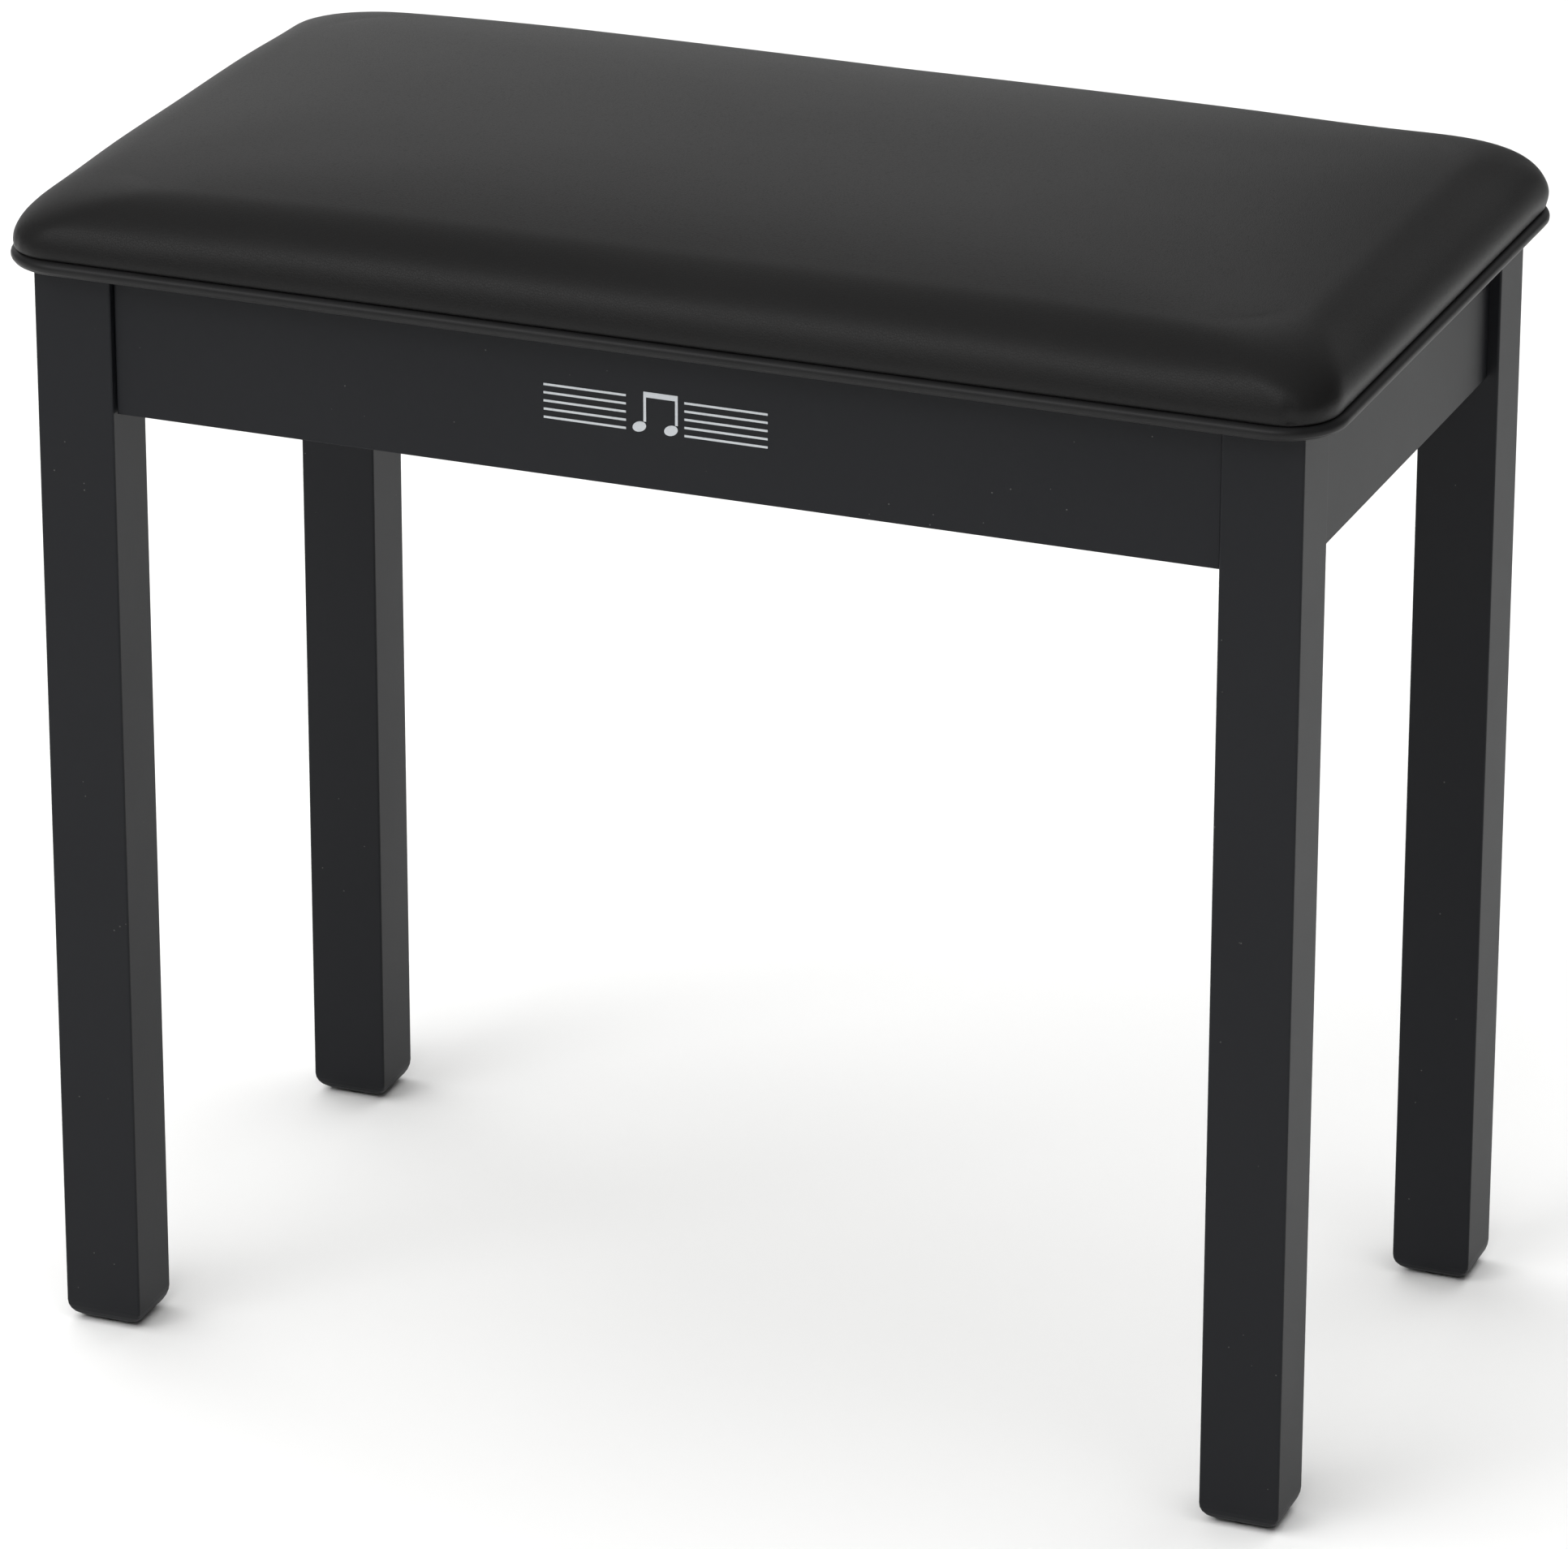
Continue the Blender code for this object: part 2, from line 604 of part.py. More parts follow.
def ring_mesh(name, radius, hole_radius, thickness, steps):
    """Washer or nut: an outer prism with a round hole, from z = 0 up."""
    outer = add_object(name, rod_mesh(name, radius, 0, thickness, steps), ZINC, CUTTERS)
    inner = add_cutter(name + "_hole", rod_mesh(name, hole_radius, -OVERCUT, OVERCUT))
    cut(outer, inner)
    mesh = evaluated_mesh(outer, name)
    mesh.materials.clear()
    mesh.materials.append(ZINC)
    for helper in (outer, inner):
        bpy.data.objects.remove(helper, do_unlink=True)
    return mesh


def make_corner_hardware():
    flat_at = leg_flat_distance()
    washer_at = PLATE_FACE + FIT
    nut_at = washer_at + WASHER_THICKNESS + FIT
    end = nut_at + NUT_THICKNESS + BOLT_TAIL - flat_at
    bolt_profile = (
        (0, end), (BOLT_RADIUS - BOLT_LEAD, end), (BOLT_RADIUS, end - BOLT_LEAD),
        (BOLT_RADIUS, -BOLT_IN_LEG + 4 * BOLT_LEAD), (0, -BOLT_IN_LEG),
    )
    bolt = turned("hanger_bolt", bolt_profile)
    bolt.materials.append(ZINC)
    hole = BOLT_RADIUS + FIT
    washer = ring_mesh("washer", WASHER_RADIUS, hole, WASHER_THICKNESS, 2 * ROUND_STEPS)
    across_corners = NUT_ACROSS_FLATS / math.cos(math.radians(30))
    nut = ring_mesh("hex_nut", across_corners / 2, hole, NUT_THICKNESS, 6)
    for corner in CORNERS:
        for name, mesh, distance in (
            ("hanger_bolt_", bolt, flat_at), ("washer_", washer, washer_at), ("hex_nut_", nut, nut_at),
        ):
            piece = add_object(name + corner, mesh, ZINC)
            piece.matrix_world = bolt_matrix(corner, distance)


def make_foot_glides():
    """Nail-on glides: a low button with its nail in one piece."""
    profile = (
        (0, GLIDE_THICKNESS + GLIDE_NAIL_LENGTH),
        (GLIDE_NAIL_RADIUS, GLIDE_THICKNESS + GLIDE_NAIL_LENGTH - 2 * GLIDE_NAIL_RADIUS),
        (GLIDE_NAIL_RADIUS, GLIDE_THICKNESS),
        (GLIDE_RADIUS, GLIDE_THICKNESS),
        (GLIDE_RADIUS, GLIDE_RIM),
        (GLIDE_RADIUS - GLIDE_RIM, 0),
        (0, 0),
    )
    mesh = turned("foot_glide", profile, 16)
    mesh.materials.append(GLIDE)
    for corner, (side_x, side_y) in CORNERS.items():
        glide = add_object("foot_glide_" + corner, mesh, GLIDE)
        glide.location = (side_x * LEG_X, side_y * LEG_Y, 0)


def main():
    make_aprons()
    for corner in CORNERS:
        make_leg(corner)
        make_bracket(corner)
    make_cleats()
    make_corner_hardware()
    make_screws()
    make_foot_glides()
    make_seat_board()
    make_dust_cover()
    make_seat_welt()
    make_foam_pad()
    make_seat_cover()


main()
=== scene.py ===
import math
import random

import bmesh
import bpy
from mathutils import Matrix, Vector, noise


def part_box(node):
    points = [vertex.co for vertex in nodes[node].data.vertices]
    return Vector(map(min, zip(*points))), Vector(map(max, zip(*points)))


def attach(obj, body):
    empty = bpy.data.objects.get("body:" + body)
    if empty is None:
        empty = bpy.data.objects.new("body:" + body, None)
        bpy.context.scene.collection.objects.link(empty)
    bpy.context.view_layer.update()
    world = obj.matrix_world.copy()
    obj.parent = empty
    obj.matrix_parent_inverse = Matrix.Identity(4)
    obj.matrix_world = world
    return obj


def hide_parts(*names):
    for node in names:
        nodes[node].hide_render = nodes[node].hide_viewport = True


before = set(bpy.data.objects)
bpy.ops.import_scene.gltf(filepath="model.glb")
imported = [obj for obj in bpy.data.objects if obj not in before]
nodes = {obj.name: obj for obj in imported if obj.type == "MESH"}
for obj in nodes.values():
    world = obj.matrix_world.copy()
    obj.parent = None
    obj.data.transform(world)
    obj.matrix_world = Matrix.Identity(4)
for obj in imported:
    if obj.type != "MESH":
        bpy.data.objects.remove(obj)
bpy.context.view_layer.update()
mm = 0.001

# Sign along X and along Y of each corner of the frame.
corners = {
    "front_left": (-1, -1),
    "front_right": (1, -1),
    "rear_left": (-1, 1),
    "rear_right": (1, 1),
}


class Wire:
    # one output of a node; Python operators on it add Math nodes
    def __init__(self, finish, node, output=0):
        self.finish = finish
        self.node = node
        self.socket = node.outputs[output] if node.outputs else None

    def out(self, output):
        return Wire(self.finish, self.node, output)

    def maths(self, operation, first, second=0.0, clamp=False):
        settings = {"operation": operation, "use_clamp": clamp}
        return self.finish.add("ShaderNodeMath", settings, {0: first, 1: second})

    def __add__(self, other):
        return self.maths("ADD", self, other)

    def __radd__(self, other):
        return self.maths("ADD", other, self)

    def __sub__(self, other):
        return self.maths("SUBTRACT", self, other)

    def __rsub__(self, other):
        return self.maths("SUBTRACT", other, self)

    def __mul__(self, other):
        return self.maths("MULTIPLY", self, other)

    def __rmul__(self, other):
        return self.maths("MULTIPLY", other, self)

    def __gt__(self, other):
        return self.maths("GREATER_THAN", self, other)

    def __lt__(self, other):
        return self.maths("LESS_THAN", self, other)

    def clamped(self):
        return self.maths("ADD", self, 0.0, clamp=True)


class Finish:
    # one material, or the world, built node by node
    def __init__(self, owner):
        self.material = owner
        owner.use_nodes = True
        self.tree = owner.node_tree
        self.tree.nodes.clear()

    def add(self, kind, settings=None, sockets=None):
        node = self.tree.nodes.new(kind)
        for key, value in (settings or {}).items():
            if key == "stops":
                self.setStops(node.color_ramp, value)
            else:
                setattr(node, key, value)
        for key, value in (sockets or {}).items():
            if isinstance(value, Wire):
                self.tree.links.new(value.socket, node.inputs[key])
            else:
                node.inputs[key].default_value = value
        return Wire(self, node)

    def setStops(self, ramp, stops):
        while len(ramp.elements) < len(stops):
            ramp.elements.new(0.5)
        for element, (place, colour) in zip(ramp.elements, stops):
            element.position = place
            element.color = (*colour, 1.0)

    def place(self, stretch=(1, 1, 1)):
        # metres in the bench's own frame, stretched for grain that runs one way
        here = self.add("ShaderNodeTexCoord").out("Object")
        return self.add("ShaderNodeMapping", None, {"Vector": here, "Scale": stretch})

    def noise(self, scale, detail=3.0, roughness=0.5, stretch=(1, 1, 1)):
        sockets = {"Vector": self.place(stretch), "Scale": scale, "Detail": detail, "Roughness": roughness}
        return self.add("ShaderNodeTexNoise", None, sockets).out("Fac")

    def cells(self, scale, feature="F1", stretch=(1, 1, 1)):
        sockets = {"Vector": self.place(stretch), "Scale": scale}
        return self.add("ShaderNodeTexVoronoi", {"feature": feature}, sockets).out("Distance")

    def blend(self, factor, first, second):
        sockets = {0: factor, 6: colourValue(first), 7: colourValue(second)}
        return self.add("ShaderNodeMix", {"data_type": "RGBA"}, sockets).out(2)

    def bump(self, height, distance, strength=1.0, below=None):
        sockets = {"Height": height, "Distance": distance, "Strength": strength}
        if below is not None:
            sockets["Normal"] = below
        return self.add("ShaderNodeBump", None, sockets)

    def surface(self, colour, roughness, normal=None, metallic=0.0, **fixed):
        sockets = {"Base Color": colourValue(colour), "Roughness": roughness, "Metallic": metallic}
        if normal is not None:
            sockets["Normal"] = normal
        for name, value in fixed.items():
            sockets[name] = value
        shader = self.add("ShaderNodeBsdfPrincipled", None, sockets)
        self.add("ShaderNodeOutputMaterial", None, {"Surface": shader})
        return self.material


def colourValue(colour):
    return colour if isinstance(colour, Wire) else (*colour, 1.0)


def blackFoilFinish():
    # satin black foil: a very fine emboss, faint clouding, a few specks of dust
    look = {"colour": (0.0068, 0.0074, 0.0092), "worn": (0.0100, 0.0106, 0.0122), "roughness": 0.38,
            "emboss": 0.035 * mm, "gloss": 0.17, "cloudScale": 9.0, "grainScale": 2600.0, "poreScale": 900.0,
            "dust": (0.20, 0.20, 0.19), "dustScale": 190.0, "dustSize": 0.055, "dustOver": 0.60}
    foil = Finish(bpy.data.materials.new("blackFoil"))
    cloud = foil.noise(look["cloudScale"], 4.0, 0.6)
    grain = foil.noise(look["grainScale"], 2.0, 0.6)
    pores = foil.noise(look["poreScale"], 2.0, 0.5, stretch=(1.0, 1.0, 0.25))
    specks = foil.cells(look["dustScale"]) < look["dustSize"]
    sparse = foil.noise(40.0, 1.0) > look["dustOver"]
    dust = specks * sparse
    colour = foil.blend(cloud, look["colour"], look["worn"])
    colour = foil.blend(dust * 0.35, colour, look["dust"])
    roughness = look["roughness"] + cloud * 0.07 + grain * 0.05 + dust * 0.2
    normal = foil.bump(grain * 0.6 + pores * 0.4, look["emboss"])
    return foil.surface(colour, roughness, normal, **{"Specular IOR Level": look["gloss"]})


def blackVinylFinish():
    # soft smooth upholstery vinyl: fine leather grain, gentle clouding in the sheen
    look = {"colour": (0.0060, 0.0059, 0.0059), "light": (0.0086, 0.0084, 0.0083), "roughness": 0.37,
            "grain": 0.07 * mm, "gloss": 0.17, "cloudScale": 7.0, "creaseScale": 950.0, "creaseWidth": 0.14,
            "pitScale": 2200.0}
    vinyl = Finish(bpy.data.materials.new("blackVinyl"))
    cloud = vinyl.noise(look["cloudScale"], 3.0, 0.55)
    creases = vinyl.cells(look["creaseScale"], "DISTANCE_TO_EDGE")
    pits = vinyl.noise(look["pitScale"], 2.0, 0.5)
    shallow = vinyl.add("ShaderNodeMapRange", {"interpolation_type": "SMOOTHSTEP"},
                        {0: creases, 1: 0.0, 2: look["creaseWidth"], 3: 0.0, 4: 1.0})
    colour = vinyl.blend(cloud, look["colour"], look["light"])
    roughness = look["roughness"] + cloud * 0.06 + (1 - shallow) * 0.06
    normal = vinyl.bump(shallow * 0.7 + pits * 0.3, look["grain"], 0.5)
    return vinyl.surface(colour, roughness, normal, **{"Specular IOR Level": look["gloss"]})


def weltVinylFinish():
    look = {"colour": (0.0060, 0.0060, 0.0062), "light": (0.0100, 0.0099, 0.0102), "roughness": 0.40,
            "grain": 0.03 * mm, "gloss": 0.22, "cloudScale": 60.0, "pitScale": 1900.0}
    welt = Finish(bpy.data.materials.new("weltVinyl"))
    cloud = welt.noise(look["cloudScale"], 3.0, 0.55)
    pits = welt.noise(look["pitScale"], 2.0, 0.5)
    colour = welt.blend(cloud, look["colour"], look["light"])
    roughness = look["roughness"] + cloud * 0.08
    normal = welt.bump(pits, look["grain"], 0.5)
    return welt.surface(colour, roughness, normal, **{"Specular IOR Level": look["gloss"]})


def silverPrintFinish():
    look = {"colour": (0.52, 0.54, 0.56), "dull": (0.44, 0.46, 0.48), "roughness": 0.36,
            "flakeScale": 1500.0, "flake": 0.01 * mm, "metallic": 0.35}
    ink = Finish(bpy.data.materials.new("silverPrint"))
    flake = ink.noise(look["flakeScale"], 2.0, 0.6)
    colour = ink.blend(flake, look["colour"], look["dull"])
    normal = ink.bump(flake, look["flake"])
    return ink.surface(colour, look["roughness"] + flake * 0.08, normal, look["metallic"])


def zincFinish():
    # bright zinc plate: spangle, faint yellow passivation, dulled patches
    look = {"bright": (0.62, 0.63, 0.65), "warm": (0.56, 0.54, 0.46), "roughness": 0.30,
            "spangleScale": 420.0, "cloudScale": 45.0, "scratchScale": 500.0, "relief": 0.02 * mm}
    zinc = Finish(bpy.data.materials.new("zincPlate"))
    spangle = zinc.cells(look["spangleScale"])
    cloud = zinc.noise(look["cloudScale"], 4.0, 0.6)
    scratch = zinc.noise(look["scratchScale"], 2.0, 0.5, stretch=(0.2, 0.2, 3.0))
    colour = zinc.blend(cloud, look["bright"], look["warm"])
    roughness = look["roughness"] + cloud * 0.16 + spangle * 0.10
    normal = zinc.bump(scratch * 0.6 + spangle * 0.4, look["relief"], 0.6)
    return zinc.surface(colour, roughness, normal, 1.0)


def chipBoardFinish():
    # raw wood-based board: pressed flakes of several browns
    look = {"pale": (0.50, 0.36, 0.21), "brown": (0.30, 0.19, 0.10), "roughness": 0.82,
            "gloss": 0.3, "flakeScale": 330.0, "fibreScale": 700.0, "relief": 0.12 * mm}
    board = Finish(bpy.data.materials.new("chipBoard"))
    flakes = board.add("ShaderNodeTexVoronoi", None,
                       {"Vector": board.place((1.0, 1.0, 2.2)), "Scale": look["flakeScale"]}).out("Color")
    tone = board.add("ShaderNodeSeparateColor", None, {"Color": flakes}).out(0)
    fibre = board.noise(look["fibreScale"], 4.0, 0.65, stretch=(0.35, 1.0, 1.0))
    colour = board.blend((tone * 0.6 + fibre * 0.5).clamped(), look["pale"], look["brown"])
    roughness = look["roughness"] + fibre * 0.1
    normal = board.bump(tone * 0.5 + fibre * 0.5, look["relief"])
    return board.surface(colour, roughness, normal, **{"Specular IOR Level": look["gloss"]})


def cleatWoodFinish():
    # sawn softwood: growth bands along X with fine fibre
    look = {"early": (0.62, 0.45, 0.26), "late": (0.42, 0.26, 0.12), "roughness": 0.70,
            "gloss": 0.3, "ringScale": 95.0, "driftScale": 14.0, "fibreScale": 900.0, "relief": 0.08 * mm}
    wood = Finish(bpy.data.materials.new("cleatWood"))
    drift = wood.noise(look["driftScale"], 3.0, 0.5, stretch=(0.15, 1.0, 1.0))
    place = wood.place((0.05, 1.0, 1.0))
    bands = wood.add("ShaderNodeTexWave", {"wave_type": "RINGS", "rings_direction": "X"},
                     {"Vector": place, "Scale": look["ringScale"], "Distortion": 3.5, "Detail": 2.0,
                      "Detail Scale": 1.2}).out("Fac")
    fibre = wood.noise(look["fibreScale"], 3.0, 0.6, stretch=(0.05, 1.0, 1.0))
    colour = wood.blend((bands * 0.55 + drift * 0.3 + fibre * 0.2).clamped(), look["early"], look["late"])
    roughness = look["roughness"] + fibre * 0.12
    normal = wood.bump(fibre * 0.7 + bands * 0.3, look["relief"])
    return wood.surface(colour, roughness, normal, **{"Specular IOR Level": look["gloss"]})


def dustClothFinish():
    # spun-bonded cloth: matted fibres with a grid of bonding dots
    look = {"dark": (0.012, 0.012, 0.013), "light": (0.040, 0.040, 0.042), "roughness": 0.88,
            "gloss": 0.2, "fibreScale": 420.0, "strandScale": 1300.0, "dotScale": 520.0, "dotSize": 0.26,
            "relief": 0.10 * mm}
    cloth = Finish(bpy.data.materials.new("dustCloth"))
    fibres = cloth.noise(look["fibreScale"], 5.0, 0.75, stretch=(1.0, 0.45, 1.0))
    strands = cloth.noise(look["strandScale"], 3.0, 0.7, stretch=(0.3, 1.0, 1.0))
    grid = cloth.add("ShaderNodeTexVoronoi", {"feature": "F1"},
                     {"Vector": cloth.place(), "Scale": look["dotScale"], "Randomness": 0.12})
    dots = grid.out("Distance") < look["dotSize"]
    web = fibres * 0.6 + strands * 0.4
    colour = cloth.blend((web * 1.2 - dots * 0.35).clamped(), look["dark"], look["light"])
    normal = cloth.bump(web - dots * 0.5, look["relief"])
    return cloth.surface(colour, look["roughness"], normal, **{"Specular IOR Level": look["gloss"]})


def glideFinish():
    look = {"colour": (0.020, 0.020, 0.021), "scuffed": (0.075, 0.074, 0.072), "roughness": 0.46,
            "scuffScale": 260.0, "scuffOver": 0.55, "grainScale": 1800.0, "relief": 0.04 * mm}
    glide = Finish(bpy.data.materials.new("glidePlastic"))
    scuff = glide.noise(look["scuffScale"], 4.0, 0.65, stretch=(1.0, 0.25, 1.0))
    grain = glide.noise(look["grainScale"], 2.0, 0.5)
    worn = ((scuff - look["scuffOver"]) * 4.0).clamped()
    colour = glide.blend(worn * 0.7, look["colour"], look["scuffed"])
    normal = glide.bump(grain + scuff * 0.5, look["relief"])
    return glide.surface(colour, look["roughness"] + worn * 0.2, normal)


def floorFinish():
    look = {"colour": (0.78, 0.78, 0.775), "roughness": 0.75, "gloss": 0.15}
    floor = Finish(bpy.data.materials.new("studioFloor"))
    return floor.surface(look["colour"], look["roughness"], **{"Specular IOR Level": look["gloss"]})


finishes = {
    "foil": blackFoilFinish(),
    "vinyl": blackVinylFinish(),
    "welt": weltVinylFinish(),
    "print": silverPrintFinish(),
    "zinc": zincFinish(),
    "chip": chipBoardFinish(),
    "cleat": cleatWoodFinish(),
    "cloth": dustClothFinish(),
    "glide": glideFinish(),
    "floor": floorFinish(),
}
print("finishes ready")


def makePiece(name, shape, material, smoothAngle=None):
    mesh = bpy.data.meshes.new(name)
    bmesh.ops.recalc_face_normals(shape, faces=shape.faces)
    shape.to_mesh(mesh)
    shape.free()
    piece = bpy.data.objects.new(name, mesh)
    bpy.context.scene.collection.objects.link(piece)
    mesh.materials.append(material)
    if smoothAngle is not None:
        mesh.shade_smooth()
        mesh.set_sharp_from_angle(angle=math.radians(smoothAngle))
    return piece


def dressNode(name, material):
    # a CAD node keeps its shape and gets a worked-up finish
    for materialSlot in nodes[name].material_slots:
        materialSlot.link = "OBJECT"
        materialSlot.material = material


def roundedRing(halfX, halfY, corner, countX, countY):
    # points of a rounded rectangle, spaced as the rim of a countX by countY grid of quads
    cornerTurn = corner * math.pi / 4
    lengthX = halfX - corner + cornerTurn
    lengthY = halfY - corner + cornerTurn

    def along(share, length, straight):
        # share from -1 to 1 over one side; gives place on the side and the drop into the corner
        reach = abs(share) * length
        if reach <= straight:
            return math.copysign(reach, share), 0.0
        turn = (reach - straight) / corner
        return math.copysign(straight + corner * math.sin(turn), share), corner * (1 - math.cos(turn))

    points = []
    for index in range(countX):
        x, drop = along(2 * index / countX - 1, lengthX, halfX - corner)
        points.append((x, -halfY + drop))
    for index in range(countY):
        y, drop = along(2 * index / countY - 1, lengthY, halfY - corner)
        points.append((halfX - drop, y))
    for index in range(countX):
        x, drop = along(1 - 2 * index / countX, lengthX, halfX - corner)
        points.append((x, halfY - drop))
    for index in range(countY):
        y, drop = along(1 - 2 * index / countY, lengthY, halfY - corner)
        points.append((-halfX + drop, y))
    return points


def setCamera():
    shot = {"place": (1.2028, -3.0239, 1.5606), "azimuth": 21.693, "elevation": 22.268, "roll": 0.084,
            "lens": 201.4}
    turn = math.radians(shot["azimuth"])
    rise = math.radians(shot["elevation"])
    roll = math.radians(shot["roll"])
    back = Vector((math.sin(turn) * math.cos(rise), -math.cos(turn) * math.cos(rise), math.sin(rise)))
    right = Vector((math.cos(turn), math.sin(turn), 0))
    up = back.cross(right)
    rolledRight = math.cos(roll) * right + math.sin(roll) * up
    rolledUp = math.cos(roll) * up - math.sin(roll) * right
    lens = bpy.data.cameras.new("camera")
    lens.lens = shot["lens"]
    lens.sensor_width = 36.0
    lens.clip_end = 60.0
    camera = bpy.data.objects.new("camera", lens)
    axes = Matrix((rolledRight, rolledUp, back)).transposed().to_4x4()
    camera.matrix_world = Matrix.Translation(shot["place"]) @ axes
    bpy.context.scene.collection.objects.link(camera)
    bpy.context.scene.camera = camera


cushion = {
    "overBoard": 0.3 * mm,       # foam above the board
    "besideBoard": 0.5 * mm,     # vinyl outside the board's edge
    "rimInset": 0.7 * mm,        # where the vinyl turns in over the welt
    "rimCorner": 20.5 * mm,
    "rimOut": 0.12 * mm,         # the vinyl rolls out just above the rim
    "rimRise": 0.15 * mm,
    "seamTuck": 0.1 * mm,
    "pocketCorner": 20 * mm,
    "pocketMargin": 4 * mm,
    "skirtDrop": 0.8 * mm,
    "skirtThickness": 0.6 * mm,
    "shoulderRun": 29.0 * mm,
    "shoulderRise": 25.3 * mm,
    "shoulderPower": 2.5,        # 2 is an ellipse, more is squarer
    "firstRing": 0.03,           # share of the shoulder's quarter turn
    "bulge": 0.45 * mm,          # how far the wall swells past the rim
    "bulgeHeight": 3.6 * mm,
    "crown": 7.0 * mm,
    "crownPowerX": 3.6,
    "crownPowerY": 2.7,
    "swell": 3.5 * mm,           # rise that the stretched cover takes up in the simulation
    "cornerGrowth": 0.55,        # corners get rounder towards the top
    "lean": 1.4 * mm,            # the filling sits a little to the right
    "tilt": 0.5 * mm,
    "cornerLift": {
        "front_left": -1.8 * mm,
        "front_right": 0.0,
        "rear_left": -2.0 * mm,
        "rear_right": 1.0 * mm,
    },
    "cornerInset": 14 * mm,
    "cornerReach": 42 * mm,
    "liftHeight": 22 * mm,       # above the rim, where the lift is whole
    "leanHeight": 7 * mm,
    "quadsX": 144,
    "quadsY": 82,
    "wallRings": 8,
    "rings": 19,
    "pinnedRings": 3,
    "frames": 20,
    "ironing": 40,
    "ironingStrength": 0.6,
    "pleat": 0.25 * mm,
    "pleatHeight": 13.0 * mm,
    "pleatRadius": 24 * mm,
    "pleatSpread": 22,
    "pleatFade": 1.5,
    "pleatWaves": ((0.6, 0.42, 1), (0.4, 0.83, 2)),   # share, waves by the degree, shift
    "pucker": 1.7 * mm,          # the one deeper gather at the front right corner
    "puckerTurn": 64,            # degrees round the corner
    "puckerSpread": 5,
}


def cushionProfile(rimZ):
    # (inset from the cover's widest line, height) from the rim up to the flat of the top
    data = cushion
    points = [(data["rimInset"], rimZ - data["seamTuck"]), (data["rimOut"], rimZ + data["rimRise"])]
    share = 2 / data["shoulderPower"]
    for step in range(data["rings"]):
        quarter = data["firstRing"] + (1 - data["firstRing"]) * step / (data["rings"] - 1)
        turn = math.radians(90) * quarter
        inset = data["shoulderRun"] * (1 - abs(math.cos(turn)) ** share)
        rise = data["shoulderRise"] * math.sin(turn) ** share
        low = rise / data["bulgeHeight"]
        points.append((inset - data["bulge"] * low * math.exp(1 - low), rimZ + rise))
    return points


def crownAt(x, y, halfX, halfY):
    across = max(0.0, 1 - abs(x / halfX) ** cushion["crownPowerX"])
    deep = max(0.0, 1 - abs(y / halfY) ** cushion["crownPowerY"])
    return across * deep


def buildCushionForm():
    data = cushion
    coverLow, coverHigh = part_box("seat_cover")
    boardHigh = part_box("seat_board")[1]
    weltLow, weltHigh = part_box("seat_welt")
    halfX, halfY = coverHigh.x, coverHigh.y
    corner = data["rimCorner"]
    countX, countY = data["quadsX"], data["quadsY"]
    rimZ = coverLow.z
    shape = bmesh.new()

    def addRing(inset, z, countInX, countInY, radius, crowned=True):
        ring = []
        for x, y in roundedRing(halfX - inset, halfY - inset, radius, countInX, countInY):
            lift = data["crown"] * crownAt(x, y, halfX, halfY) if crowned else 0.0
            ring.append(shape.verts.new((x, y, z + lift)))
        return ring

    def bridge(lower, upper):
        for index in range(len(lower)):
            beyond = (index + 1) % len(lower)
            shape.faces.new((lower[index], lower[beyond], upper[beyond], upper[index]))

    # Underside: a pocket over the seat board, with a skirt of vinyl that wraps down inside the welt.
    pocket = halfX - boardHigh.x - data["besideBoard"]
    pocketTop = boardHigh.z + data["overBoard"]
    skirtZ = (weltLow.z + weltHigh.z) / 2 - data["skirtDrop"]
    skirt = pocket - data["skirtThickness"]
    bend, margin = data["pocketCorner"], data["pocketMargin"]
    floorRing = addRing(pocket + margin, pocketTop, countX, countY, bend - margin, False)
    pocketRing = addRing(pocket, pocketTop, countX, countY, bend, False)
    hemRing = addRing(pocket, skirtZ, countX, countY, bend, False)
    turnRing = addRing(skirt, skirtZ, countX, countY, corner, False)
    lipRing = addRing(skirt, rimZ - data["seamTuck"], countX, countY, corner, False)
    fillRing(shape, floorRing, countX, countY, lambda x, y: pocketTop)
    bridge(floorRing, pocketRing)
    bridge(pocketRing, hemRing)
    bridge(hemRing, turnRing)
    bridge(turnRing, lipRing)

    held = [*floorRing, *pocketRing, *hemRing, *turnRing, *lipRing]
    ring = lipRing
    profile = cushionProfile(rimZ)
    for index, (inset, z) in enumerate(profile):
        radius = corner - min(inset, 0) + data["cornerGrowth"] * max(inset, 0)
        if index <= data["wallRings"]:
            upper = addRing(inset, z, countX, countY, radius)
            bridge(ring, upper)
        else:
            # Over the shoulder each ring loses two quads a side, like the rings of a grid.
            upper = addRing(inset, z, countX - 2, countY - 2, radius)
            joinNested(shape, ring, upper, countX, countY)
            countX, countY = countX - 2, countY - 2
        ring = upper
        if index < data["pinnedRings"]:
            held.extend(upper)
    flatTop = profile[-1][1]
    fillRing(shape, ring, countX, countY, lambda x, y: flatTop + data["crown"] * crownAt(x, y, halfX, halfY))
    bmesh.ops.remove_doubles(shape, verts=shape.verts, dist=0.01 * mm)
    heldPlaces = {tuple(round(value, 6) for value in vert.co) for vert in held if vert.is_valid}
    form = makePiece("seatCushion", shape, finishes["vinyl"])
    pins = form.vertex_groups.new(name="pinned")
    rows = [vert.index for vert in form.data.vertices
            if tuple(round(value, 6) for value in vert.co) in heldPlaces]
    pins.add(rows, 1.0, "REPLACE")
    return form, rimZ


